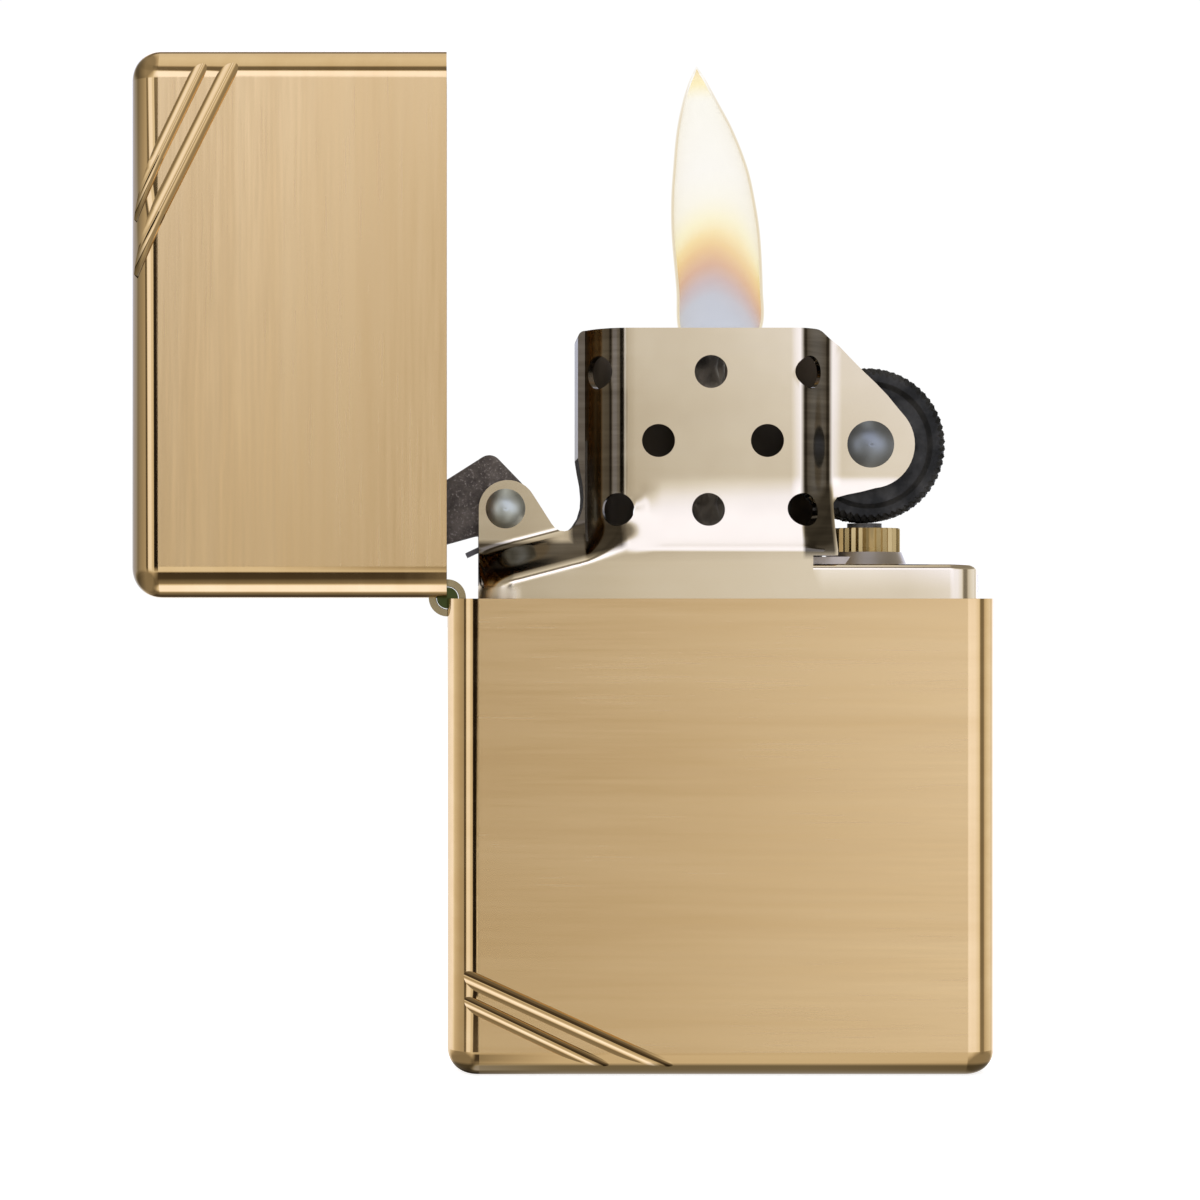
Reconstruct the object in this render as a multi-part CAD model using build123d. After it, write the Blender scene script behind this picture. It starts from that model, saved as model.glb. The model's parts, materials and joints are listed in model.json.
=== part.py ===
"""Flip-top windproof petrol lighter, lid open at a right angle.

Millimetres, +Z up. The origin is the centre of the flat bottom of the case, +X points
to the spark wheel and away from the hinge, -Y is the front. Each function builds one
separate piece of the real object and export() writes it as its own STEP file.
"""
from build123d import *
import math
import os

# ---- driving dimensions -------------------------------------------------------------
WIDTH = 38.1  # case and lid, along X
DEPTH = 12.7  # case and lid, along Y
WALL = 0.65  # drawn brass sheet of case and lid
CASE_H = 33.1  # bottom of the case to its rim
PARTING_Z = 33.15  # plane where the lid meets the case, and height of the hinge axis
LID_TOP_Z = 55.1  # top of the lid when it is closed
SIDE_R = 2.2  # plan radius of the upright edges
CASE_EDGE_R = 1.8  # rounding round the bottom of the case
LID_EDGE_R = 2.0  # rounding round the top of the lid
HALF_W = WIDTH / 2
HALF_D = DEPTH / 2

# slanting cuts across one corner, each as (run, rise, width, depth)
CASE_CUTS = ((18.0, 8.2, 1.2, 0.28), (13.5, 6.45, 1.05, 0.26))
LID_CUTS = ((16.7, 8.4, 1.2, 0.28), (12.8, 6.2, 1.0, 0.25))
CASE_DIVE_R, LID_DIVE_R = 60.0, 13.0  # how sharply the cuts bend over the closed end's edge
CUT_RUN_OUT = 2.5  # the cutter starts this far outside the face
CUT_DIVE_LEN = 5.0  # length of the bent end of the cutter

HINGE_X = -HALF_W
LID_OPEN_DEG = 90.0  # the rest pose
BARREL_R = 1.3
BARREL_BORE_R = 0.82
PIN_R = 0.75
BARREL_HALF = 4.1  # half length of the hinge barrel
LEAF_T = 0.5
LEAF_LEN = 7.5
KNUCKLE_GAP = 0.1
LID_KNUCKLES = ((-2.5, -0.9), (0.9, 2.5))  # spans along Y that belong to the lid
CASE_KNUCKLES = ((-4.1, -2.6), (-0.8, 0.8), (2.6, 4.1))

TANK_X0, TANK_X1 = -16.8, 18.15  # insert housing, left and right walls
TANK_HALF_D = 5.55
TANK_R = 2.4
TANK_Z0 = 2.4  # open bottom of the insert
SHELF_Z = 35.5  # shelf under the spark wheel
SHOULDER_Z = 33.5  # where the front wall turns in below the cam ears
SHEET = 0.5  # insert sheet
CHIMNEY_X0 = -9.85
CHIMNEY_FLAT = (-6.5, 5.45)  # flat part of the chimney's front
CHIMNEY_HALF_D = 4.75
CHIMNEY_TOP = 51.95
CHEEK_X = 8.1  # where the chimney wall has become the wheel cheek
CHEEK_Y = 2.9  # outside of the wheel cheeks
CHEEK_R = 3.1
WHEEL_X, WHEEL_Z, WHEEL_R = 10.7, 43.95, 5.5
WHEEL_W = 4.2
WHEEL_TEETH = 72
SLIT_X0 = 6.3  # left end of the gap between the chimney's foot and the shelf
SLIT_H = 0.6
AIR_HOLE_R = 1.15
# rows of three, two and three holes in front, each row as (height, places along X)
FRONT_HOLES = ((48.9, (-8.5, -0.7, 6.3)), (44.1, (-4.36, 3.22)), (39.3, (-7.2, -0.9, 5.75)))
# the holes behind lie between the front ones
BACK_HOLES = ((48.9, (-4.36, 3.22)), (44.1, (-8.5, -0.7, 6.9)), (39.3, (-4.36, 3.22)))

EAR_Y = 2.55  # outside of the two cam ears
EAR_T = 0.6
EAR_FOOT_Z = 36.9  # where the shoulder has become the ear
RAMP_X, RAMP_Z = -10.3, 35.3  # right end of the sloping shoulder below the ears
SLOT_X1 = -10.6  # right end of the slot between the ears
EAR_C = (-14.8, 39.4)
EAR_R = 2.05
CAM_X, CAM_Z = -14.96, 39.44
CAM_W = 3.4
RIVET_R = 0.9  # shank of both pivot rivets
SLOT_Z = 34.0  # floor of the slot between the ears

TUBE_R, TUBE_BORE_R = 1.7, 1.35
TUBE_Z0 = 2.6
COLLAR_Z0, COLLAR_Z1, COLLAR_R = 36.4, 38.1, 2.5
COLLAR_TEETH = 30
FLINT_R, FLINT_TOP, FLINT_LEN = 1.22, 38.45, 5.0
PLUNGER_LEN = 1.5
SCREW_HEAD_R, SCREW_HEAD_T = 2.5, 0.75
SCREW_LEN = 5.4
SCREW_PITCH = 0.5
SPRING_WIRE_R, SPRING_R, SPRING_TURNS = 0.16, 1.02, 20
SPRING_RIVET_X, SPRING_RIVET_R = -11.7, 0.5  # holds the cam's leaf spring
FELT_T = 2.0
WICK_R, WICK_X, WICK_TOP, WICK_END = 1.5, -0.7, 51.2, 8.0
PAD_COUNT = 5
PADS_Z0, PADS_Z1 = 5.2, 31.6


BOTTOM = (Align.CENTER, Align.CENTER, Align.MIN)  # a cone that stands on its place


# ---- helpers ------------------------------------------------------------------------
def rounded_block(x0, x1, half_depth, radius, z0, z1):
    """Upright block with rounded vertical edges."""
    plan = Pos((x0 + x1) / 2, 0, z0) * RectangleRounded(x1 - x0, 2 * half_depth, radius)
    return extrude(plan, z1 - z0)


def rod_y(x, z, radius, y0, y1):
    """Cylinder along Y."""
    return Pos(x, (y0 + y1) / 2, z) * Rot(90, 0, 0) * Cylinder(radius, y1 - y0)


def rod_z(x, radius, z0, z1):
    """Upright cylinder on the middle plane."""
    return Pos(x, 0, (z0 + z1) / 2) * Cylinder(radius, z1 - z0)


def slab_xz(face, half_depth):
    """Face drawn in X and Z, thickened to both sides of the middle plane."""
    upright = Plane.XZ * face
    return extrude(upright, half_depth, both=True)


def box_between(x0, x1, y0, y1, z0, z1):
    """Box from its two corners."""
    place = Pos((x0 + x1) / 2, (y0 + y1) / 2, (z0 + z1) / 2)
    return place * Box(x1 - x0, y1 - y0, z1 - z0)


def bar_along_x(x0, x1, *points):
    """Prism along X whose section is drawn in Y and Z."""
    section = Plane.YZ * Polygon(*points, align=None)
    return Pos(x0, 0, 0) * extrude(section, x1 - x0, dir=(1, 0, 0))


def toothed_disc(radius, depth, teeth):
    """Face with V-shaped teeth round its rim."""
    points = []
    for i in range(2 * teeth):
        angle = math.pi * i / teeth
        r = radius - (depth if i % 2 else 0)
        points.append((r * math.cos(angle), r * math.sin(angle)))
    return Polygon(*points, align=None)


# ---- case and lid ---------------------------------------------------------------------
def groove(run, rise, width, depth, edge_radius, dive, side):
    """Round cutter for one slanting cut, for the corner at the origin of its sketch.

    The cut's outer edge runs from rise up the upright edge to run along the level edge.
    It is straight across the face and bends into the rounded level edge.
    """
    slope = math.atan2(rise, run)
    along = Vector(math.cos(slope), -math.sin(slope), 0)
    to_corner = Vector(-math.sin(slope), -math.cos(slope), 0)
    outward = Vector(0, 0, 1)
    tool_r = (width**2 / 4 + depth**2) / (2 * depth)
    entry = Vector(0, rise, 0) + to_corner * (width / 2) + outward * (tool_r - depth)
    start = entry - along * CUT_RUN_OUT
    bend_start = entry + along * ((entry.Y - edge_radius) / math.sin(slope))
    hub = bend_start - outward * dive
    bend = []
    for length in (CUT_DIVE_LEN / 2, CUT_DIVE_LEN):
        turn = length / dive
        bend.append(hub + along * (dive * math.sin(turn)) + outward * (dive * math.cos(turn)))
    path = Wire([Line(start, bend_start).edge(), ThreePointArc(bend_start, *bend).edge()])
    cutter = sweep(Plane(origin=start, z_dir=along) * Circle(tool_r), path=path)
    if side > 0:
        cutter = mirror(cutter, Plane.XY)
    return cutter


def corner_grooves(cuts, edge_radius, dive):
    """The given cuts on the front and on the back, at the lower left."""
    cutters = []
    for side in (-1, 1):
        for run, rise, width, depth in cuts:
            cutter = groove(run, rise, width, depth, edge_radius, dive, side)
            cutters.append(Pos(-HALF_W, side * HALF_D, 0) * Rot(90, 0, 0) * cutter)
    return cutters


def drawn_cup(height, edge_radius, cuts, dive):
    """Open-topped cup of drawn sheet with rounded edges, standing on its closed end."""
    outer = rounded_block(-HALF_W, HALF_W, HALF_D, SIDE_R, 0, height)
    outer = fillet(outer.faces().sort_by(Axis.Z)[0].edges(), edge_radius)
    inside_x = HALF_W - WALL
    inner = rounded_block(-inside_x, inside_x, HALF_D - WALL, SIDE_R - WALL, WALL, height + 1)
    inner = fillet(inner.faces().sort_by(Axis.Z)[0].edges(), edge_radius - WALL)
    cup = outer - inner
    for cutter in corner_grooves(cuts, edge_radius, dive):
        cup = cup - cutter
    return cup


def hinge_relief():
    """Space for the hinge barrel in the left wall of the case and the lid."""
    half = BARREL_HALF + 0.12
    return rod_y(HINGE_X, PARTING_Z, BARREL_R + 0.14, -half, half)


def make_case():
    return drawn_cup(CASE_H, CASE_EDGE_R, CASE_CUTS, CASE_DIVE_R) - hinge_relief()


def make_lid():
    """The lid in its closed place. The grooves lie at its upper right corner."""
    cup = drawn_cup(LID_TOP_Z - PARTING_Z - 0.05, LID_EDGE_R, LID_CUTS, LID_DIVE_R)
    turned = Pos(0, 0, LID_TOP_Z) * Rot(0, 180, 0) * cup
    return turned - hinge_relief()


def leaf(own, other, up):
    """Hinge leaf: a plate inside the wall that curls into knuckles round the pin."""
    x0 = HINGE_X + WALL
    end = 0.06 * up
    z0, z1 = sorted((PARTING_Z + end, PARTING_Z + up * LEAF_LEN))
    body = box_between(x0, x0 + LEAF_T, -BARREL_HALF, BARREL_HALF, z0, z1)
    for y0, y1 in other:
        reach = KNUCKLE_GAP
        body = body - rod_y(HINGE_X, PARTING_Z, BARREL_R + 0.14, y0 - reach, y1 + reach)
    for y0, y1 in own:
        body = body + rod_y(HINGE_X, PARTING_Z, BARREL_R, y0, y1)
    return body - rod_y(HINGE_X, PARTING_Z, BARREL_BORE_R, -BARREL_HALF - 1, BARREL_HALF + 1)


def make_stop_plate():
    """Formed plate on the lid's hinge leaf. The cam's toe rides over its ridge."""
    x0 = HINGE_X + WALL + LEAF_T
    plate = box_between(x0, x0 + 0.45, -2.4, 2.4, PARTING_Z + 1.6, PARTING_Z + 6.6)
    ridge_x = x0 + 0.95
    ridge_z = PARTING_Z + 2.3
    ridge = rod_y(ridge_x, ridge_z, 0.6, -1.2, 1.2)
    ridge = ridge + box_between(x0, ridge_x, -1.2, 1.2, ridge_z - 0.6, ridge_z + 0.6)
    return plate + ridge


def opened(piece):
    """Turns a piece of the lid from its closed place to the rest pose."""
    hinge = Pos(HINGE_X, 0, PARTING_Z)
    back = Pos(-HINGE_X, 0, -PARTING_Z)
    return hinge * Rot(0, -LID_OPEN_DEG, 0) * back * piece


# ---- insert housing -------------------------------------------------------------------
def chimney_face(inset):
    """Plan of the chimney and the space between the wheel cheeks, inset all round."""
    half = CHIMNEY_HALF_D - inset
    cheek = CHEEK_Y - inset
    x0, x1 = CHIMNEY_FLAT
    end = CHEEK_X + 8
    with BuildSketch() as sketch:
        with BuildLine():
            Line((x0, half), (x1, half))
            Spline((x1, half), (CHEEK_X, cheek), tangents=((1, 0), (1, 0)))
            Line((CHEEK_X, cheek), (end, cheek))
            Line((end, cheek), (end, -cheek))
            Line((end, -cheek), (CHEEK_X, -cheek))
            Spline((CHEEK_X, -cheek), (x1, -half), tangents=((-1, 0), (-1, 0)))
            Line((x1, -half), (x0, -half))
            EllipticalCenterArc(
                (x0, 0), x0 - CHIMNEY_X0 - inset, half, start_angle=90, arc_size=180
            )
        make_face()
    return sketch.sketch


def chimney_side():
    """Outline of the chimney and the wheel cheeks, in X and Z."""
    rim = 0.5
    body = Polygon(
        (CHIMNEY_X0 - 1, SHELF_Z - 1),
        (CHIMNEY_X0 - 1, CHIMNEY_TOP),
        (CHEEK_X - 1.4, CHIMNEY_TOP),
        (CHEEK_X - rim, CHIMNEY_TOP - rim),
        (9.8, 49.5),
        (11.5, 47.85),
        (12.95, 45.97),
        (WHEEL_X, WHEEL_Z),
        (10.9, WHEEL_Z - CHEEK_R),
        (CHEEK_X, 40.3),
        (CHEEK_X, SHELF_Z - 1),
        align=None,
    )
    return body + Pos(WHEEL_X, WHEEL_Z) * Circle(CHEEK_R)


def ear_side():
    """Outline of the cam ears, in X and Z, down to the tank."""
    right_x = EAR_C[0] + EAR_R * math.cos(math.radians(30))
    right_z = EAR_C[1] + EAR_R * math.sin(math.radians(30))
    left_x = EAR_C[0] - EAR_R
    body = Polygon(
        (left_x, SHOULDER_Z),
        (left_x, EAR_C[1]),
        EAR_C,
        (right_x, right_z),
        (-11.7, 38.35),
        (-11.3, 37.98),
        (-10.8, 37.85),
        (-10.3, 38.0),
        (-9.6, 38.9),
        (-9.3, SHOULDER_Z),
        align=None,
    )
    return body + Pos(*EAR_C) * Circle(EAR_R)


def chimney_wall_at(x):
    """Half depth of the chimney's outside at x, and the slant of its normal there."""
    x0, x1 = CHIMNEY_FLAT
    if x < x0:
        a = x0 - CHIMNEY_X0
        y = CHIMNEY_HALF_D * math.sqrt(1 - ((x - x0) / a) ** 2)
        return y, math.degrees(math.atan2((x - x0) / a**2, y / CHIMNEY_HALF_D**2))
    if x <= x1:
        return CHIMNEY_HALF_D, 0.0
    t = (x - x1) / (CHEEK_X - x1)
    drop = CHIMNEY_HALF_D - CHEEK_Y
    rate = 6 * t * (1 - t) * drop / (CHEEK_X - x1)
    return CHIMNEY_HALF_D - drop * t * t * (3 - 2 * t), math.degrees(math.atan(rate))


def shoulder_wedge(side):
    """What is cut off the tank above the shoulder that slopes up from the hinge side."""
    rise = (RAMP_Z - SHOULDER_Z) / (RAMP_X - TANK_X0)
    section = bar_along_x(
        -1,
        8.5,
        (side * (TANK_HALF_D + 0.01), 0),
        (side * EAR_Y, EAR_FOOT_Z - SHOULDER_Z),
        (side * EAR_Y, 10),
        (side * 9, 10),
        (side * 9, 0),
    )
    return Pos(TANK_X0, 0, SHOULDER_Z) * Rot(0, -math.degrees(math.atan(rise)), 0) * section


def ear_skirt(side):
    """Slope from the tank's wall up to an ear."""
    inner = side * (EAR_Y - EAR_T)
    return bar_along_x(
        TANK_X0 + TANK_R,
        -11.0,
        (side * TANK_HALF_D, SHOULDER_Z - 1),
        (side * TANK_HALF_D, SHOULDER_Z),
        (side * EAR_Y, EAR_FOOT_Z),
        (inner, EAR_FOOT_Z),
        (inner, SHOULDER_Z - 1),
    )


def housing_outside():
    """The housing as if it were solid, with the slot between the ears not yet cut."""
    tank = rounded_block(TANK_X0, TANK_X1, TANK_HALF_D, TANK_R, TANK_Z0, SHELF_Z)
    tank = fillet(tank.faces().sort_by(Axis.Z)[-1].edges(), 0.9)
    for side in (-1, 1):
        tank = tank - shoulder_wedge(side)
    body = tank + slab_xz(ear_side(), EAR_Y)
    for side in (-1, 1):
        body = body + ear_skirt(side)
    wall = extrude(Pos(0, 0, SHELF_Z - 1) * chimney_face(0), CHIMNEY_TOP - SHELF_Z + 1)
    return body + (wall & slab_xz(chimney_side(), 9))


def hollowed(body):
    """Takes out the tank's room, the flue, the slot for the cam and the slit by the shelf."""
    room = rounded_block(
        TANK_X0 + SHEET, TANK_X1 - SHEET, TANK_HALF_D - SHEET, TANK_R - SHEET, 0, SHELF_Z - SHEET
    )
    under_ears = box_between(-20, SLOT_X1 + 0.2, -9, 9, SLOT_Z - 1, 60)
    body = body - (room - under_ears)
    flue = extrude(Pos(0, 0, SHELF_Z - 0.8) * chimney_face(SHEET), 30)
    above_shelf = box_between(CHEEK_X - 0.6, 30, -9, 9, 0, SHELF_Z)
    body = body - (flue - above_shelf)
    half_slot = EAR_Y - EAR_T
    body = body - box_between(-20, SLOT_X1, -half_slot, half_slot, SLOT_Z, 50)
    return body - box_between(SLIT_X0, CHEEK_X + 1, -9, 9, SHELF_Z - 0.05, SHELF_Z + SLIT_H)


def air_holes(side, rows):
    """Drills square to the sheet, on the front (-1) or the back (1)."""
    drills = []
    for z, places in rows:
        for x in places:
            y, slant = chimney_wall_at(x)
            drill = Rot(90, 0, 0) * Cylinder(AIR_HOLE_R, 2.6)
            drills.append(Pos(x, side * y, z) * Rot(0, 0, -side * slant) * drill)
    return drills


def make_housing():
    """Tank, chimney, cam ears and wheel cheeks, folded from one sheet."""
    shell = hollowed(housing_outside())
    for drill in air_holes(-1, FRONT_HOLES) + air_holes(1, BACK_HOLES):
        shell = shell - drill
    shell = shell - rod_y(WHEEL_X, WHEEL_Z, RIVET_R, -9, 9)
    shell = shell - rod_y(CAM_X, CAM_Z, RIVET_R, -9, 9)
    shell = shell - rod_z(WHEEL_X, TUBE_R, SHELF_Z - 2, SHELF_Z + 1)
    return shell - rod_z(SPRING_RIVET_X, SPRING_RIVET_R, SLOT_Z - 2, SLOT_Z + 1)


def pivot_rivet(x, z, head_r, outside):
    """Rivet along Y with a low dome on each end."""
    rivet = rod_y(x, z, RIVET_R, -outside, outside)
    dome_h = 0.62
    ball_r = (head_r**2 + dome_h**2) / (2 * dome_h)
    dome = Pos(0, 0, dome_h - ball_r) * Sphere(ball_r) & Pos(0, 0, dome_h / 2) * Cylinder(
        head_r, dome_h
    )
    for side, turn in ((-1, 90), (1, -90)):
        rivet = rivet + Pos(x, side * outside, z) * Rot(turn, 0, 0) * dome
    return rivet


def make_tube_flange():
    """Flared washer under the collar, with a tongue that closes the slit by the shelf."""
    low = Pos(WHEEL_X, 0, SHELF_Z) * Circle(2.95)
    high = Pos(WHEEL_X, 0, COLLAR_Z0) * Circle(2.6)
    half = CHEEK_Y - SHEET - 0.02
    tongue = box_between(SLIT_X0 - 0.4, WHEEL_X - 1, -half, half, SHELF_Z, SHELF_Z + SLIT_H - 0.05)
    return loft([low, high]) + tongue - rod_z(WHEEL_X, TUBE_R, SHELF_Z - 1, COLLAR_Z0 + 1)


def make_flint_tube():
    tube = rod_z(WHEEL_X, TUBE_R, TUBE_Z0, COLLAR_Z0)
    knurl = toothed_disc(COLLAR_R, 0.16, COLLAR_TEETH)
    collar = extrude(Pos(WHEEL_X, 0, COLLAR_Z0) * knurl, COLLAR_Z1 - COLLAR_Z0)
    cap = Pos(WHEEL_X, 0, COLLAR_Z0) * Cone(COLLAR_R + 0.55, COLLAR_R - 0.35, 2.6, align=BOTTOM)
    return tube + (collar & cap) - rod_z(WHEEL_X, TUBE_BORE_R, TUBE_Z0 - 1, COLLAR_Z1 + 1)


def make_flint():
    return rod_z(WHEEL_X, FLINT_R, FLINT_TOP - FLINT_LEN, FLINT_TOP)


def make_plunger():
    top = FLINT_TOP - FLINT_LEN
    button = rod_z(WHEEL_X, FLINT_R, top - 0.7, top)
    return button + rod_z(WHEEL_X, 0.7, top - PLUNGER_LEN, top - 0.7)


def make_flint_spring():
    """Coil spring from the tip of the screw to the plunger's button."""
    z0 = TUBE_Z0 + SCREW_LEN + SPRING_WIRE_R + 0.02
    z1 = FLINT_TOP - FLINT_LEN - 0.7 - SPRING_WIRE_R - 0.02
    path = Pos(WHEEL_X, 0, z0) * Helix((z1 - z0) / SPRING_TURNS, z1 - z0, SPRING_R)
    section = Plane(path @ 0, z_dir=path % 0) * Circle(SPRING_WIRE_R)
    return sweep(section, path)


def make_flint_screw():
    """Slotted head below the felt, shank with thread inside the tube."""
    head_top = TUBE_Z0
    head = rod_z(WHEEL_X, SCREW_HEAD_R, head_top - SCREW_HEAD_T, head_top)
    head = head - box_between(
        WHEEL_X - 3, WHEEL_X + 3, -0.4, 0.4, head_top - 1, head_top - SCREW_HEAD_T + 0.35
    )
    core_r = 1.05
    screw = head + rod_z(WHEEL_X, core_r, head_top, head_top + SCREW_LEN)
    for i in range(8):
        z = head_top + 0.6 + i * SCREW_PITCH
        ridge = Pos(WHEEL_X, 0, z) * Cone(TUBE_BORE_R - 0.05, core_r, 0.2, align=BOTTOM)
        lower = mirror(Cone(TUBE_BORE_R - 0.05, core_r, 0.2, align=BOTTOM), Plane.XY)
        screw = screw + ridge + Pos(WHEEL_X, 0, z) * lower
    return screw


def make_spark_wheel():
    """Hardened wheel with file teeth and bevelled rims, free on its rivet."""
    disc = extrude(toothed_disc(WHEEL_R, 0.2, WHEEL_TEETH), WHEEL_W / 2, both=True)
    bevel = 0.35
    for side in (0, 180):
        cone_r = WHEEL_R + 0.1
        cone = Cone(cone_r + WHEEL_W - bevel, cone_r - bevel, WHEEL_W, align=BOTTOM)
        disc = disc & Rot(side, 0, 0) * Pos(0, 0, -WHEEL_W / 2) * cone
    disc = disc - Cylinder(RIVET_R + 0.05, WHEEL_W + 1)
    return Pos(WHEEL_X, 0, WHEEL_Z) * Rot(90, 0, 0) * disc


def make_cam():
    """Sintered lever between the ears. Its nose reaches into the open lid."""
    with BuildSketch() as sketch:
        with BuildLine():
            Polyline(
                (-13.3, 40.75),
                (-15.95, 43.5),
                (-20.75, 40.45),
                (-20.9, 36.5),
                (-19.2, 36.95),
                (-17.05, 37.55),
                (-15.6, 37.6),
                (-13.6, 38.2),
                (-13.3, 40.75),
            )
        make_face()
        fillet(sketch.vertices().sort_by(Axis.Y)[-1], 0.9)
        fillet(sketch.vertices().sort_by(Axis.X)[:2], 0.7)
    nose = slab_xz(sketch.sketch, CAM_W / 2)
    hub = rod_y(CAM_X, CAM_Z, 1.9, -CAM_W / 2, CAM_W / 2)
    return nose + hub - rod_y(CAM_X, CAM_Z, RIVET_R + 0.05, -CAM_W, CAM_W)


def make_cam_spring():
    """Leaf spring riveted to the floor of the slot, pressing up under the cam."""
    with BuildSketch() as sketch:
        with BuildLine():
            FilletPolyline(
                (-10.9, SLOT_Z + 0.2),
                (-12.9, SLOT_Z + 0.2),
                (-15.2, 36.55),
                (-16.5, 36.72),
                (-17.7, 36.15),
                radius=0.5,
            )
        trace(line_width=0.36)
    strip = slab_xz(sketch.sketch, 1.4)
    return strip - rod_z(SPRING_RIVET_X, SPRING_RIVET_R, SLOT_Z - 1, SLOT_Z + 2)


def make_cam_spring_rivet():
    strip_top = SLOT_Z + 0.38
    head = rod_z(SPRING_RIVET_X, 0.85, strip_top, strip_top + 0.47)
    return head + rod_z(SPRING_RIVET_X, SPRING_RIVET_R, SLOT_Z - 1, strip_top)


# ---- fuel side ------------------------------------------------------------------------
def make_felt():
    gap = SHEET + 0.05
    pad = rounded_block(
        TANK_X0 + gap, TANK_X1 - gap, TANK_HALF_D - gap, TANK_R - gap, TUBE_Z0, TUBE_Z0 + FELT_T
    )
    return pad - rod_z(WHEEL_X, TUBE_R + 0.05, 0, 10)


def make_packing():
    """Five cotton pads, one above the other, threaded by the tube and the wick."""
    pitch = (PADS_Z1 - PADS_Z0) / PAD_COUNT
    pads = []
    for i in range(PAD_COUNT):
        z0 = PADS_Z0 + i * pitch
        pad = rounded_block(TANK_X0 + 0.7, TANK_X1 - 0.7, 4.8, 1.6, z0, z0 + pitch - 0.2)
        pad = pad - rod_z(WHEEL_X, TUBE_R + 0.1, 0, 40)
        pad = pad - rod_z(WICK_X, WICK_R + 0.1, 0, 40)
        pads.append(pad)
    return Compound(children=pads)


def make_wick():
    """Cotton wick, standing just below the chimney's rim."""
    return rod_z(WICK_X, WICK_R, WICK_END, WICK_TOP)


# ---- writing --------------------------------------------------------------------------
def export(name, piece):
    export_step(piece, f"parts/{name}.step")


def main():
    os.makedirs("parts", exist_ok=True)
    export("case_bottom", make_case())
    export("hinge_leaf_case", leaf(CASE_KNUCKLES, LID_KNUCKLES, -1))
    export("hinge_pin", rod_y(HINGE_X, PARTING_Z, PIN_R, -BARREL_HALF, BARREL_HALF))
    export("lid", opened(make_lid()))
    export("hinge_leaf_lid", opened(leaf(LID_KNUCKLES, CASE_KNUCKLES, 1)))
    export("lid_stop_plate", opened(make_stop_plate()))
    export("insert_housing", make_housing())
    export("wheel_rivet", pivot_rivet(WHEEL_X, WHEEL_Z, 1.65, CHEEK_Y))
    export("cam_rivet", pivot_rivet(CAM_X, CAM_Z, 1.4, EAR_Y))
    export("tube_flange", make_tube_flange())
    export("flint_tube", make_flint_tube())
    export("flint", make_flint())
    export("flint_plunger", make_plunger())
    export("flint_spring", make_flint_spring())
    export("flint_screw", make_flint_screw())
    export("spark_wheel", make_spark_wheel())
    export("cam_lever", make_cam())
    export("cam_spring", make_cam_spring())
    export("cam_spring_rivet", make_cam_spring_rivet())
    export("felt_pad", make_felt())
    export("packing_pads", make_packing())
    export("wick", make_wick())


main()
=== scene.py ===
"""Looks of the flip-top petrol lighter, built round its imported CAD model.

Everything is in metres in the CAD frame: +Z up, +X from the hinge to the spark wheel,
-Y the front. Sizes are written in millimetres and multiplied by MM.
"""
import json
import math

import bmesh
import bpy
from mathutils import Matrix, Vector, noise


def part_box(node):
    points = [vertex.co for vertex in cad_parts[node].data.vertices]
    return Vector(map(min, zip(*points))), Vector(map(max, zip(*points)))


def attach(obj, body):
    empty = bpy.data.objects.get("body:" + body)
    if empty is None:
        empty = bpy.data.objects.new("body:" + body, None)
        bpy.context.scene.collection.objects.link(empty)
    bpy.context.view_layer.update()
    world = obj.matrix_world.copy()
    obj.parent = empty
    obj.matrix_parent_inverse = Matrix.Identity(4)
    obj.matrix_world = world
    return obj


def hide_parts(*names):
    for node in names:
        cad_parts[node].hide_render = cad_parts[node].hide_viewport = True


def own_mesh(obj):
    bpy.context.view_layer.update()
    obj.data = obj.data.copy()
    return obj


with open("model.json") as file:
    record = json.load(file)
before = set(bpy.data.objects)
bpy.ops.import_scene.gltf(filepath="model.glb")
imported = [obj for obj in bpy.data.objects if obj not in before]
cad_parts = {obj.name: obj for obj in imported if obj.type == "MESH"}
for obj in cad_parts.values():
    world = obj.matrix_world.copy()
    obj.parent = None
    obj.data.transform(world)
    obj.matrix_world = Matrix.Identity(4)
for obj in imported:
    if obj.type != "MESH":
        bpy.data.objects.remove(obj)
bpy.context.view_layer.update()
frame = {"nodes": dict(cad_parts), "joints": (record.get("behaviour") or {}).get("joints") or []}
NODES = frame["nodes"]
JOINTS = {joint["name"]: joint for joint in frame["joints"]}
MM = 0.001


def corners(node):
    """A node's lowest and highest corner in millimetres."""
    lo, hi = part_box(node)
    return [v / MM for v in lo], [v / MM for v in hi]


# ---- places taken from the frame, in millimetres ----------------------------------------
CASE_LO, CASE_HI = corners("case_bottom")
LID_LO, LID_HI = corners("lid")
HOUSE_LO, HOUSE_HI = corners("insert_housing")
WHEEL_LO, WHEEL_HI = corners("spark_wheel")
WICK_LO, WICK_HI = corners("wick")
FELT_LO, FELT_HI = corners("felt_pad")
PADS_LO, PADS_HI = corners("packing_pads")
WHEEL_X, _, WHEEL_Z = [v / MM for v in JOINTS["wheel_spin"]["pos_m"]]

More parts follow.
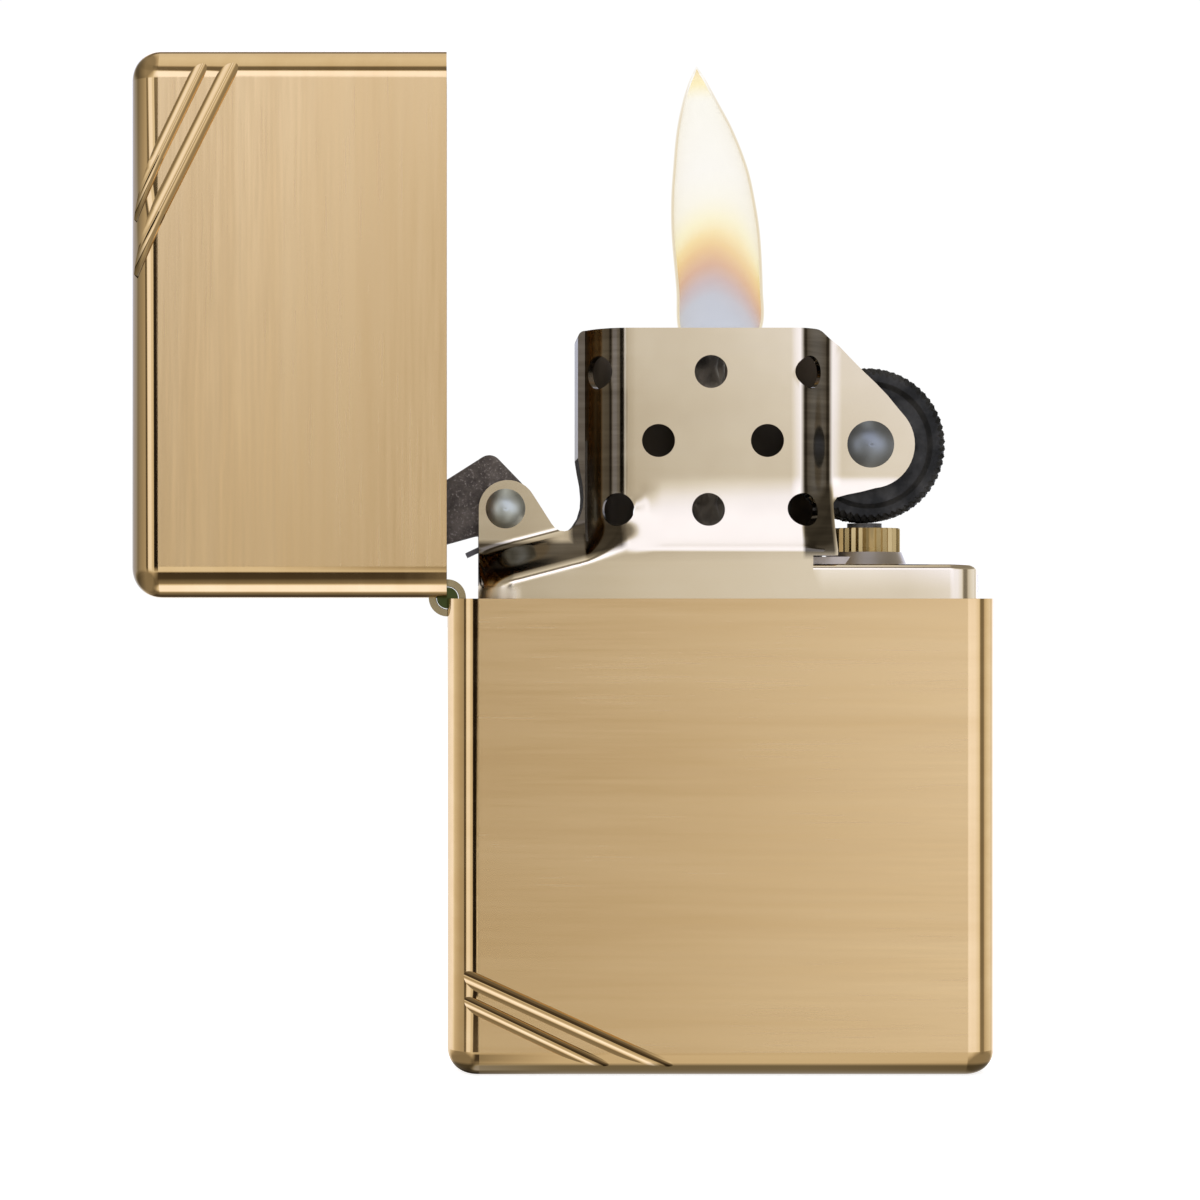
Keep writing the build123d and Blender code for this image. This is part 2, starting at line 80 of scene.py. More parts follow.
# ---- the insert's folded sheet, in millimetres; half depths are measured from the middle plane ----
SHEET = 0.5
TANK_X0, TANK_X1 = -16.8, HOUSE_HI[0]
TANK_Z0, CHIMNEY_TOP = HOUSE_LO[2], HOUSE_HI[2]
TANK_D, TANK_R = 5.55, 2.4  # half depth, and radius of the upright edges
SHELF_Z = 35.5  # top of the tank beside the wheel
CHIMNEY_X0, FLAT_X0, FLAT_X1, CHEEK_X = -9.85, -6.5, 5.45, 8.1  # round end, flat front, cheeks
CHIMNEY_D, CHEEK_D, CHEEK_R = 4.75, 2.9, 3.1
EAR_D, EAR_GAP = 2.55, 1.95  # half depth outside and inside the cam's ears
EAR_C, EAR_R = (-14.8, 39.4), 2.05
EAR_END = -10.6  # where the ears end and the shoulder begins
FOOT_Z, FOOT_SLOPE = 33.5, 0.262  # the shoulder's lower edge at TANK_X0, and how it climbs with X


# ---- shader helpers -----------------------------------------------------------------------
class Nodes:
    """A node tree and short names for what is put in it."""

    def __init__(self, tree):
        self.tree = tree

    def node(self, kind, **settings):
        made = self.tree.nodes.new("ShaderNode" + kind)
        for key, value in settings.items():
            setattr(made, key, value)
        return made

    def link(self, source, target):
        self.tree.links.new(source, target)

    def maths(self, operation, *values):
        """A Math node. Each value is a number or a socket."""
        made = self.node("Math", operation=operation)
        for socket, value in zip(made.inputs, values):
            if isinstance(value, (int, float)):
                socket.default_value = value
            else:
                self.link(value, socket)
        return made.outputs[0]

    def times(self, a, b):
        return self.maths("MULTIPLY", a, b)

    def plus(self, a, b):
        return self.maths("ADD", a, b)

    def less(self, a, b):
        return self.maths("SUBTRACT", a, b)

    def size_of(self, a):
        return self.maths("ABSOLUTE", a)

    def spread(self, value, low, high, to_low=0.0, to_high=1.0):
        """to_low up to low, to_high from high on, and even between the two."""
        made = self.node("MapRange")
        made.inputs["From Min"].default_value = low
        made.inputs["From Max"].default_value = high
        made.inputs["To Min"].default_value = to_low
        made.inputs["To Max"].default_value = to_high
        self.link(value, made.inputs["Value"])
        return made.outputs["Result"]

    def ramp(self, value, stops):
        made = self.node("ValToRGB")
        fill_ramp(made.color_ramp, stops)
        self.link(value, made.inputs["Fac"])
        return made.outputs["Color"]

    def split(self, vector):
        """The X, Y and Z of a vector socket."""
        parts = self.node("SeparateXYZ")
        self.link(vector, parts.inputs[0])
        return parts.outputs


class Shader(Nodes):
    """A material on the Principled node, with places taken from the object."""

    def __init__(self, name):
        self.material = bpy.data.materials.new(name)
        self.material.use_nodes = True
        super().__init__(self.material.node_tree)
        self.bsdf = self.tree.nodes["Principled BSDF"]
        self.coord = None

    def put(self, **values):
        """Constant inputs of the Principled node, with _ for each space in a name."""
        for key, value in values.items():
            self.bsdf.inputs[key.replace("_", " ")].default_value = value

    def place(self):
        if self.coord is None:
            self.coord = self.node("TexCoord").outputs["Object"]
        return self.coord

    def place_mm(self):
        """X, Y and Z of the place in millimetres."""
        return [self.maths("DIVIDE", part, MM) for part in self.split(self.place())]

    def stretched(self, scale, turn=(0, 0, 0)):
        mapping = self.node("Mapping")
        mapping.inputs["Scale"].default_value = scale
        mapping.inputs["Rotation"].default_value = [math.radians(a) for a in turn]
        self.link(self.place(), mapping.inputs["Vector"])
        return mapping.outputs["Vector"]

    def noise(self, vector, scale=1.0, detail=3.0, rough=0.55):
        made = self.node("TexNoise")
        made.inputs["Scale"].default_value = scale
        made.inputs["Detail"].default_value = detail
        made.inputs["Roughness"].default_value = rough
        self.link(vector, made.inputs["Vector"])
        return made.outputs["Fac"]

    def blend(self, factor, a, b):
        """Colour a where factor is 0, b where it is 1."""
        made = self.node("Mix", data_type="RGBA")
        for socket, value in ((made.inputs[0], factor), (made.inputs[6], a), (made.inputs[7], b)):
            if isinstance(value, tuple):
                socket.default_value = (*value, 1.0)
            else:
                self.link(value, socket)
        return made.outputs[2]

    def colour(self, socket):
        self.link(socket, self.bsdf.inputs["Base Color"])

    def rough(self, socket):
        self.link(socket, self.bsdf.inputs["Roughness"])

    def bump(self, height, strength, distance_mm):
        made = self.node("Bump")
        made.inputs["Strength"].default_value = strength
        made.inputs["Distance"].default_value = distance_mm * MM
        self.link(height, made.inputs["Height"])
        self.link(made.outputs["Normal"], self.bsdf.inputs["Normal"])


def fill_ramp(ramp, stops):
    """Sets a ramp's stops from (position, colour) pairs."""
    while len(ramp.elements) > 1:
        ramp.elements.remove(ramp.elements[-1])
    for i, (position, colour) in enumerate(stops):
        stop = ramp.elements[0] if i == 0 else ramp.elements.new(position)
        stop.position = position
        stop.color = (*colour, 1.0)


# ---- materials ------------------------------------------------------------------------------
BRASS_LIGHT = (0.83, 0.60, 0.32)
BRASS_DEEP = (0.78, 0.55, 0.28)
# painted shade: dark brass that stands in for shade and dark reflection along an edge
BRASS_PAINTED_SHADE = (0.16, 0.115, 0.055)
FACE_FADE = 0.006  # mm over which the brushed face gives way to the polished rounding
FACE_GIVE = 0.001  # mm that a point may lie off the face and still be on it


def near_planes(s, planes):
    """1 on the flat faces, given as (axis, millimetres), and 0 on the roundings."""
    parts = s.split(s.place())
    total = None
    for axis, value in planes:
        gap = s.size_of(s.less(parts[axis], value * MM))
        on = s.spread(gap, FACE_GIVE * MM, FACE_FADE * MM, 1.0, 0.0)
        total = on if total is None else s.maths("MAXIMUM", total, on)
    return total


def brushed_brass(name, along, planes, slant, painted_shade):
    """Satin brass: fine lines along one axis on the flats, polished on the roundings.

    The last argument is (axis, mm where it is darkest, mm where it ends, strength): painted shade, the brass
    darkened along that edge to stand in for shade and dark reflection.
    """
    s = Shader(name)
    fine, streak, patch = [4200.0] * 3, [700.0] * 3, [120.0] * 3
    fine[along], streak[along], patch[along] = 130.0, 22.0, 30.0
    turn = (0, slant, 0)
    hair = s.noise(s.stretched(fine, turn), detail=4.0, rough=0.6)
    bands = s.noise(s.stretched(streak, turn), detail=3.0)
    cloud = s.noise(s.stretched(patch, turn), detail=2.0)
    flat = near_planes(s, planes)
    tone = s.plus(s.times(bands, 0.6), s.times(cloud, 0.4))
    brass = s.blend(s.spread(tone, 0.38, 0.62), BRASS_DEEP, BRASS_LIGHT)
    # painted shade: a dark band along one edge of the brass
    axis, dark_mm, clear_mm, strength = painted_shade
    shade_share = s.spread(s.split(s.place())[axis], dark_mm * MM, clear_mm * MM, strength, 0.0)
    s.colour(s.blend(shade_share, brass, BRASS_PAINTED_SHADE))
    satin = s.plus(s.spread(hair, 0.3, 0.7, 0.20, 0.28), s.spread(cloud, 0.3, 0.7, -0.02, 0.02))
    scuffs = s.spread(bands, 0.3, 0.7, 0.04, 0.08)
    mixed = s.node("Mix", data_type="FLOAT")
    s.link(flat, mixed.inputs[0])
    s.link(scuffs, mixed.inputs[2])
    s.link(satin, mixed.inputs[3])
    s.rough(mixed.outputs[0])
    s.bump(s.times(hair, flat), 0.10, 0.010)
    s.put(Metallic=1.0, Anisotropic=0.55)
    tangent = s.node("Tangent", direction_type="RADIAL", axis="Z" if along == 0 else "X")
    s.link(tangent.outputs[0], s.bsdf.inputs["Tangent"])
    return s.material


def polished_metal(name, light, deep, rough, streaks):
    """Smooth metal with faint polishing haze and fine scratches."""
    s = Shader(name)
    haze = s.noise(s.stretched((160.0, 160.0, 160.0)), detail=3.0)
    lines = s.noise(s.stretched(streaks), detail=4.0, rough=0.65)
    s.colour(s.blend(s.spread(haze, 0.35, 0.65), deep, light))
    polish = s.spread(haze, 0.3, 0.7, rough * 0.75, rough * 1.25)
    s.rough(s.plus(polish, s.spread(lines, 0.4, 0.8, 0.0, 0.05)))
    s.bump(lines, 0.10, 0.006)
    s.put(Metallic=1.0)
    return s.material


STEEL_DEEP, STEEL_LIGHT = (0.77, 0.665, 0.51), (0.82, 0.715, 0.55)
STEEL_PAINTED_LIGHT = (0.99, 0.875, 0.69)  # painted light: a lighter copy of the same steel, on the tank's left part and the cam's ears
# painted shade: dark browns standing in for the dark reflections on the chimney's bends and under the ears
LEFT_PAINTED_SHADE, RIGHT_PAINTED_SHADE = (0.080, 0.062, 0.042), (0.030, 0.023, 0.016)


def steel_with_painted_light(s, x, z, haze):
    """Colour of the plated sheet, with painted light that makes the tank's left part and the cam's ears
    lighter.
    """
    steel = s.blend(s.spread(haze, 0.35, 0.65), STEEL_DEEP, STEEL_LIGHT)
    # painted light: the tank lighter towards its left, fading to the right
    tank = s.times(s.spread(z, 35.6, 36.6, 1.0, 0.0), s.spread(x, -6.0, 12.0, 0.95, 0.1))
    # painted light: the cam's ears lighter than the rest of the sheet
    ears = s.spread(x, -11.0, EAR_END, 0.7, 0.0)
    return s.blend(s.maths("MAXIMUM", tank, ears), steel, STEEL_PAINTED_LIGHT)


def left_painted_shade(s, x, z, haze, beside_ear):
    """1 on the chimney's left bend, on the shoulder and under the ears, where painted shade goes."""
    ragged = s.spread(haze, 0.3, 0.7, -0.12, 0.12)
    bend = s.spread(s.plus(x, ragged), FLAT_X0 - 0.45, FLAT_X0, 1.0, 0.0)
    foot = s.plus(s.times(s.less(x, TANK_X0), FOOT_SLOPE), FOOT_Z + 0.4)
    over_foot = s.spread(s.less(z, foot), 0.0, 0.35)
    under_ear = s.spread(z, 36.9, 37.25, 1.0, 0.0)
    return s.times(bend, s.times(over_foot, s.maths("MAXIMUM", beside_ear, under_ear)))


def right_painted_shade(s, x, z):
    """1 on the bend between the chimney's front and the wheel's cheek, where painted shade goes."""
    bend = s.times(s.spread(x, 5.55, 5.8), s.spread(x, 7.75, 8.0, 1.0, 0.0))
    return s.times(bend, s.spread(z, 35.8, 36.4))


def housing_steel():
    """Bright plated sheet, with painted shade on the chimney's bends and under the ears, and painted light
    on the tank and the cam's ears.
    """
    s = Shader("champagne_steel")
    haze = s.noise(s.stretched((160.0, 160.0, 160.0)), detail=3.0)
    lines = s.noise(s.stretched((90.0, 90.0, 1800.0)), detail=4.0, rough=0.65)
    x, _, z = s.place_mm()
    beside_ear = s.spread(x, EAR_END, EAR_END + 0.4)
    uneven = s.spread(lines, 0.3, 0.7, 0.95, 0.85)
    # painted shade on the left bend, the shoulder and under the ears, and on the right bend
    left = s.times(left_painted_shade(s, x, z, haze, beside_ear), uneven)
    right = s.times(right_painted_shade(s, x, z), uneven)
    s.colour(s.blend(right, s.blend(left, steel_with_painted_light(s, x, z, haze), LEFT_PAINTED_SHADE), RIGHT_PAINTED_SHADE))
    polish = s.plus(s.spread(haze, 0.3, 0.7, 0.08, 0.13), s.spread(lines, 0.4, 0.8, 0.0, 0.03))
    rubbed = s.times(s.spread(x, -14.8, -13.8, 0.30, 0.0), s.spread(z, 33.6, 34.2, 1.0, 0.0))
    satin = s.times(s.spread(x, -9.4, -8.2, 0.22, 0.0), s.spread(z, 36.5, 37.5))
    s.rough(s.plus(polish, s.plus(rubbed, s.times(satin, beside_ear))))
    s.bump(lines, 0.05, 0.004)
    s.put(Metallic=1.0)
    return s.material


def painted_shade_edge():
    """Matt near-black painted shade on the cut edge of the chimney's foot, beside the cam."""
    s = Shader("painted_shade_edge")
    speckle = s.noise(s.stretched((1500.0, 1500.0, 1500.0)))
    s.colour(s.blend(speckle, (0.020, 0.017, 0.014), (0.050, 0.043, 0.035)))
    s.put(Metallic=0.0, Roughness=0.9, Specular_IOR_Level=0.05)
    return s.material


def sintered_iron():
    """Dark grainy pressed metal of the cam, with lighter grains."""
    s = Shader("sintered_cam")
    grain = s.noise(s.place(), 5200.0, 4.0, 0.7)
    patch = s.noise(s.place(), 900.0, 3.0)
    base = s.blend(s.spread(patch, 0.35, 0.65), (0.062, 0.050, 0.043), (0.120, 0.100, 0.086))
    s.colour(s.blend(s.spread(grain, 0.56, 0.68, 0.0, 0.75), base, (0.30, 0.26, 0.23)))
    s.rough(s.spread(grain, 0.3, 0.7, 0.75, 0.45))
    s.bump(grain, 0.8, 0.05)
    s.put(Metallic=0.55)
    return s.material


def wheel_steel():
    """Blackened file steel, a little dusty."""
    s = Shader("black_file_steel")
    grain = s.noise(s.place(), 3000.0, 4.0, 0.7)
    dust = s.noise(s.place(), 600.0, 3.0)
    s.colour(s.blend(s.spread(dust, 0.4, 0.7), (0.014, 0.014, 0.014), (0.048, 0.046, 0.044)))
    s.rough(s.spread(grain, 0.3, 0.7, 0.35, 0.62))
    s.bump(grain, 0.4, 0.02)
    s.put(Metallic=0.7)
    return s.material


WICK_SCORCHED, WICK_BURNT = (0.075, 0.06, 0.05), (0.02, 0.016, 0.013)


def scorched(s, tone, clump, top_z):
    """A fibre's colour, darkened towards a height in millimetres and burnt just below it."""
    ragged = s.plus(s.split(s.place())[2], s.spread(clump, 0.3, 0.7, -0.5 * MM, 0.5 * MM))
    dark = s.spread(ragged, (top_z - 16.0) * MM, (top_z - 12.5) * MM, 0.0, 0.88)
    black = s.spread(ragged, (top_z - 3.0) * MM, (top_z - 0.8) * MM)
    return s.blend(black, s.blend(dark, tone, WICK_SCORCHED), WICK_BURNT)


def fibre(name, light, deep, scale, top_z=None):
    """Matted fibre. With top_z, it is scorched towards that height."""
    s = Shader(name)
    fuzz = s.noise(s.place(), scale, 6.0, 0.75)
    clump = s.noise(s.place(), scale * 0.12, 3.0)
    tone = s.blend(s.spread(clump, 0.3, 0.7), deep, light)
    tone = s.blend(s.spread(fuzz, 0.35, 0.65, 0.0, 0.6), tone, light)
    s.colour(tone if top_z is None else scorched(s, tone, clump, top_z))
    s.rough(s.spread(fuzz, 0.3, 0.7, 0.85, 1.0))
    s.bump(fuzz, 0.9, 0.08)
    s.put(Sheen_Weight=0.3, Sheen_Roughness=0.5)
    return s.material


def flint_material():
    """Dull grey ferrocerium."""
    s = Shader("ferrocerium")
    grain = s.noise(s.place(), 2600.0, 4.0, 0.7)
    s.colour(s.blend(s.spread(grain, 0.35, 0.65), (0.10, 0.095, 0.09), (0.24, 0.23, 0.22)))
    s.rough(s.spread(grain, 0.3, 0.7, 0.5, 0.75))
    s.bump(grain, 0.5, 0.03)
    s.put(Metallic=0.6)
    return s.material


def emission(s, colour, strength):
    """Output of an Emission node."""
    made = s.node("Emission")
    made.inputs["Color"].default_value = (*colour, 1)
    made.inputs["Strength"].default_value = strength
    return made.outputs[0]


def see_through(s, share, glow):
    """Surface that shows a share of the glow and lets the rest through."""
    mix = s.node("MixShader")
    if isinstance(share, float):
        mix.inputs[0].default_value = share
    else:
        s.link(share, mix.inputs[0])
    s.link(s.node("BsdfTransparent").outputs[0], mix.inputs[1])
    s.link(glow, mix.inputs[2])
    s.link(mix.outputs[0], s.tree.nodes["Material Output"].inputs["Surface"])


def glowing_rim(name, colour, density):
    """Thin layer of lit haze: its colour shows where the eye looks along the layer."""
    s = Shader(name)
    s.tree.nodes.remove(s.bsdf)
    see_through(s, 0.02, emission(s, (1.0, 0.88, 0.55), 1.0))
    veil = s.node("VolumeAbsorption")
    veil.inputs["Color"].default_value = (0, 0, 0, 1)
    veil.inputs["Density"].default_value = density / MM
    both = s.node("AddShader")
    s.link(veil.outputs[0], both.inputs[0])
    s.link(emission(s, colour, density / MM), both.inputs[1])
    s.link(both.outputs[0], s.tree.nodes["Material Output"].inputs["Volume"])
    return s.material


# The flame's zones from the foot upwards: height on the middle line, colour, and how much each
# wall covers. Towards the sides a zone reaches lower.
FLAME_ZONES = (
    (52.0, (0.42, 0.49, 0.66), 0.52),
    (54.6, (0.41, 0.46, 0.62), 0.52),
    (55.7, (0.46, 0.34, 0.42), 0.52),
    (56.8, (0.60, 0.27, 0.17), 0.50),
    (58.1, (0.80, 0.44, 0.11), 0.48),
    (59.0, (0.93, 0.66, 0.18), 0.42),
    (60.0, (0.99, 0.90, 0.47), 0.34),
    (61.6, (1.0, 0.98, 0.86), 0.30),
    (63.5, (1.0, 1.0, 1.0), 0.30),
    (68.6, (1.0, 1.0, 0.95), 0.30),
    (69.8, (0.97, 0.82, 0.34), 0.42),
    (71.2, (0.86, 0.60, 0.24), 0.40),
)
FLAME_AXIS_X = -0.24
FLAME_ARCH = 0.30  # mm that a zone drops for each square millimetre of distance from the axis


def flame_light():
    """Light of the flame's body, in zones bent into arches over the wick."""
    s = Shader("flame_light")
    s.tree.nodes.remove(s.bsdf)
    x, _, z = s.place_mm()
    off_axis = s.less(x, FLAME_AXIS_X)
    drop = s.times(s.times(off_axis, off_axis), FLAME_ARCH)
    drop = s.times(drop, s.spread(z, 58.0, 66.0, 1.0, 0.0))
    flicker = s.spread(s.noise(s.stretched((260.0, 260.0, 90.0)), detail=1.0), 0.3, 0.7, -0.2, 0.2)
    low, high = FLAME_ZONES[0][0], FLAME_ZONES[-1][0]
    place = s.spread(s.plus(s.plus(z, drop), flicker), low, high)
    colours = [((height - low) / (high - low), colour) for height, colour, _ in FLAME_ZONES]
    covers = [((height - low) / (high - low), (cover,) * 3) for height, _, cover in FLAME_ZONES]
    glow = s.node("Emission")
    glow.inputs["Strength"].default_value = 1.04
    s.link(s.ramp(place, colours), glow.inputs["Color"])
    see_through(s, s.ramp(place, covers), glow.outputs[0])
    return s.material


def dress(node, material):
    """Gives a CAD node its material."""
    for slot in NODES[node].material_slots:
        slot.material = material


# ---- mesh helpers -----------------------------------------------------------------------------
def new_object(name, vertices, faces, material=None):
    """Smooth mesh from places in millimetres, with its faces turned outwards."""
    mesh = bpy.data.meshes.new(name)
    mesh.from_pydata([tuple(c * MM for c in v) for v in vertices], [], faces)
    mesh.update()
    bm = bmesh.new()
    bm.from_mesh(mesh)
    bmesh.ops.recalc_face_normals(bm, faces=bm.faces)
    bm.to_mesh(mesh)
    bm.free()
    if material is not None:
        mesh.materials.append(material)
    for polygon in mesh.polygons:
        polygon.use_smooth = True
    made = bpy.data.objects.new(name, mesh)
    bpy.context.scene.collection.objects.link(made)
    return made


def band(a, b, count):
    """Quads between two rings of vertices, which start at a and at b."""
    return [(a + i, a + (i + 1) % count, b + (i + 1) % count, b + i) for i in range(count)]


def on_circle(i, count):
    """Cosine and sine of the i-th of count directions."""
    angle = 2 * math.pi * i / count
    return math.cos(angle), math.sin(angle)


def steps(low, high, size):
    """Values from low to high, about size apart."""
    count = max(1, math.ceil((high - low) / size))
    return [low + (high - low) * i / count for i in range(count + 1)]


def smoothstep(value, low, high):
    """0 up to low, 1 from high on, and eased between the two."""
    t = min(1.0, max(0.0, (value - low) / (high - low)))
    return t * t * (3 - 2 * t)


def pillow(name, xs, zs, half_depth):
    """Closed body whose front and back lie at -/+ half_depth(x, z)."""
    wide, tall = len(xs), len(zs)
    vertices = [(x, side * half_depth(x, z), z) for side in (-1, 1) for z in zs for x in xs]

    def at(side, i, j):
        return side * wide * tall + j * wide + i

    faces = []
    for side in (0, 1):
        for j in range(tall - 1):
            for i in range(wide - 1):
                low, high = at(side, i, j), at(side, i, j + 1)
                faces.append((low, low + 1, high + 1, high))
    for j in range(tall - 1):
        for i in (0, wide - 1):
            faces.append((at(0, i, j), at(0, i, j + 1), at(1, i, j + 1), at(1, i, j)))
    for i in range(wide - 1):
        for j in (0, tall - 1):
            faces.append((at(0, i, j), at(0, i + 1, j), at(1, i + 1, j), at(1, i, j)))
    return new_object(name, vertices, faces)


def prism(name, outline, half_depth):
    """Outline in X and Z, thickened along Y."""
    count = len(outline)
    vertices = [(x, side * half_depth, z) for side in (-1, 1) for x, z in outline]
    faces = [tuple(range(count)), tuple(range(count, 2 * count))]
    return new_object(name, vertices, faces + band(0, count, count))


def block(name, x0, x1, half_depth, z0, z1):
    """Plain box, as deep behind the middle plane as before it."""
    return prism(name, [(x0, z0), (x1, z0), (x1, z1), (x0, z1)], half_depth)


ROD_SIDES = 40


def rod(name, centre, direction, radius, length):
    """Cylinder with its middle at centre."""
    axis = Vector(direction).normalized()
    across = axis.orthogonal().normalized()
    up = axis.cross(across)
    vertices = []
    for end in (-0.5, 0.5):
        for i in range(ROD_SIDES):
            c, s = on_circle(i, ROD_SIDES)
            vertices.append(tuple(Vector(centre) + axis * length * end + (across * c + up * s) * radius))
    faces = [tuple(range(ROD_SIDES)), tuple(range(ROD_SIDES, 2 * ROD_SIDES))]
    return new_object(name, vertices, faces + band(0, ROD_SIDES, ROD_SIDES))


def combine(target, tool, operation):
    """Boolean of two meshes, applied at once. The tool is used up."""
    bpy.context.view_layer.update()
    modifier = target.modifiers.new("cut", "BOOLEAN")
    modifier.operation = operation
    modifier.solver = "EXACT"
    modifier.object = tool
    made = bpy.data.meshes.new_from_object(
        target.evaluated_get(bpy.context.evaluated_depsgraph_get())
    )
    target.modifiers.clear()
    old = target.data
    target.data = made
    bpy.data.meshes.remove(old)
    bpy.data.objects.remove(tool)


def soften(piece, angle):
    """Smooth shading with creases over an angle in degrees."""
    for polygon in piece.data.polygons:
        polygon.use_smooth = True
    piece.data.set_sharp_from_angle(angle=math.radians(angle))


def join(name, parts):
    """One object from several meshes."""
    bm = bmesh.new()
    for part in parts:
        bm.from_mesh(part.data)
    mesh = bpy.data.meshes.new(name)
    bm.to_mesh(mesh)
    bm.free()
    for part in parts:
        bpy.data.objects.remove(part)
    made = bpy.data.objects.new(name, mesh)
    bpy.context.scene.collection.objects.link(made)
    return made


def arc(centre, radius, start, stop, count):
    """Points along an arc, angles in degrees."""
    points = []
    for i in range(count + 1):
        angle = math.radians(start + (stop - start) * i / count)
        points.append((centre[0] + radius * math.cos(angle), centre[1] + radius * math.sin(angle)))
    return points


# ---- insert housing -----------------------------------------------------------------------------
def plan_corner(x, x0, x1, depth, radius):
    """Half depth of a rounded rectangle at x."""
    inside = min(x - x0, x1 - x)
    if inside >= radius:
        return depth
    inside = max(0.0, inside)
    return depth - radius + math.sqrt(radius**2 - (radius - inside) ** 2)


def chimney_depth(x, inset=0.0):
    """Half depth of the chimney above the shoulders: round left end, flat, wheel cheeks."""
    half, cheek = CHIMNEY_D - inset, CHEEK_D - inset
    if x < FLAT_X0:
        reach = FLAT_X0 - CHIMNEY_X0 - inset
        t = (FLAT_X0 - x) / reach
        return half * math.sqrt(max(0.0, 1 - t * t))
    if x <= FLAT_X1:
        return half
    return half + (cheek - half) * smoothstep(x, FLAT_X1, CHEEK_X)


def sheet_depth(x, z):
    """Half depth of the housing's outside left of the shelf, from tank to chimney and ears."""
    tank = plan_corner(x, TANK_X0, TANK_X1, TANK_D, TANK_R)
    above = max(EAR_D, chimney_depth(x))
    rise = 3.2
    if x < FLAT_X0:
        foot = FOOT_Z + FOOT_SLOPE * (x - TANK_X0)
        return tank + (above - tank) * smoothstep(z, foot, foot + rise)
    t = smoothstep(x, FLAT_X0, FLAT_X0 + 2)  # the S bend turns into a rounded one
    foot, rise = 36.2 + 0.3 * t, rise + 2.0 * t
    share = min(1.0, max(0.0, (z - foot) / rise))
    bend = smoothstep(z, foot, foot + rise) * (1 - t) + share * (2 - share) * t
    return tank + (above - tank) * bend


def housing_outline():
    """Front view of everything left of the shelf, and the cheeks."""
    left = EAR_C[0] - EAR_R
    ear = arc(EAR_C, EAR_R, 180, 30, 14)
    notch = [(-11.72, 38.38), (-11.45, 38.05), (-11.15, 37.88), (-10.8, 37.84), (-10.45, 37.92)]
    flank = [(-10.1, 38.25), (-9.72, 38.85), (-9.5, 39.6), (-9.46, 40.3), (-9.54, 41.2), (-9.72, 42.1)]
    flank += [(CHIMNEY_X0 - 0.01, 43.0)]
    top_left = arc((CHIMNEY_X0 + 0.5, CHIMNEY_TOP - 0.5), 0.51, 180, 90, 5)
    top_right = arc((6.7, CHIMNEY_TOP - 1.1), 1.1, 90, 47, 5)
    cheek = [(8.5, 50.82), (9.3, 49.98), (10.2, 49.06), (11.1, 48.2), (11.9, 47.36), (12.5, 46.62)]
    lobe = arc((WHEEL_X, WHEEL_Z), CHEEK_R, 38, -84, 16)
    under = [(10.0, 40.6), (9.0, 40.4), (8.3, 40.2), (8.02, 39.8)]
    start = [(left, TANK_Z0 - 1)]
    end = [(8.0, TANK_Z0 - 1)]
    return start + ear + notch + flank + top_left + top_right + cheek + lobe + under + end


def air_hole(x, z):
    """Place and direction of one air hole, square to the sheet."""
    y = chimney_depth(x)
    slope = (chimney_depth(x + 0.05) - chimney_depth(x - 0.05)) / 0.1
    return Vector((x, -y, z)), Vector((-slope, -1.0, 0.0))


AIR_HOLE_R = 1.15
# rows of holes as (height, places along X); the holes behind lie between the front ones
FRONT_HOLES = ((48.9, (-8.5, -0.7, 6.3)), (44.1, (-4.36, 3.22)), (39.3, (-7.2, -0.9, 5.75)))
BACK_HOLES = ((48.9, (-4.36, 3.22)), (44.1, (-8.5, -0.7, 6.9)), (39.3, (-4.36, 3.22)))


def air_drills():
    """Cutters for all the air holes as one mesh."""
    drills = []
    for side, rows in ((1, FRONT_HOLES), (-1, BACK_HOLES)):
        for x, z in [(x, z) for z, places in rows for x in places]:
            spot, outward = air_hole(x, z)
            centre = (spot.x, spot.y * side, z)
            drills.append(rod("drill", centre, (outward.x, outward.y * side, 0), AIR_HOLE_R, 2.4))
    return join("drills", drills)


FINE, COARSE = 0.16, 0.6  # mm between the mesh's columns on the bends and on the flats
PAST = 9.0  # half depth of a tool that reaches past the sheet on both sides
RIGHT_END = 8.0  # right end of the chimney below the cheeks
CHEEKS_END = WHEEL_X + CHEEK_R


def shell_body():
    """Solid of everything left of the shelf, and the cheeks."""
    xs = steps(TANK_X0 - 0.04, TANK_X0 + TANK_R, FINE)
    xs += steps(TANK_X0 + TANK_R, CHIMNEY_X0, 0.4)[1:]
    xs += steps(CHIMNEY_X0, FLAT_X0, FINE)[1:] + steps(FLAT_X0, FLAT_X1, COARSE)[1:]
    xs += steps(FLAT_X1, CHEEK_X, FINE)[1:] + steps(CHEEK_X, CHEEKS_END + 0.2, COARSE)[1:]
    zs = [TANK_Z0, 18.0, 32.6] + steps(33.0, 42.0, FINE) + steps(42.0, CHIMNEY_TOP, 1.2)[1:]
    body = pillow("insert_shell", xs, zs, sheet_depth)
    combine(body, prism("outline", housing_outline(), PAST), "INTERSECT")
    under = block("under_chimney", 6.3, 20, PAST, SHELF_Z - 3.0, SHELF_Z + 0.6)
    combine(body, under, "DIFFERENCE")
    return body


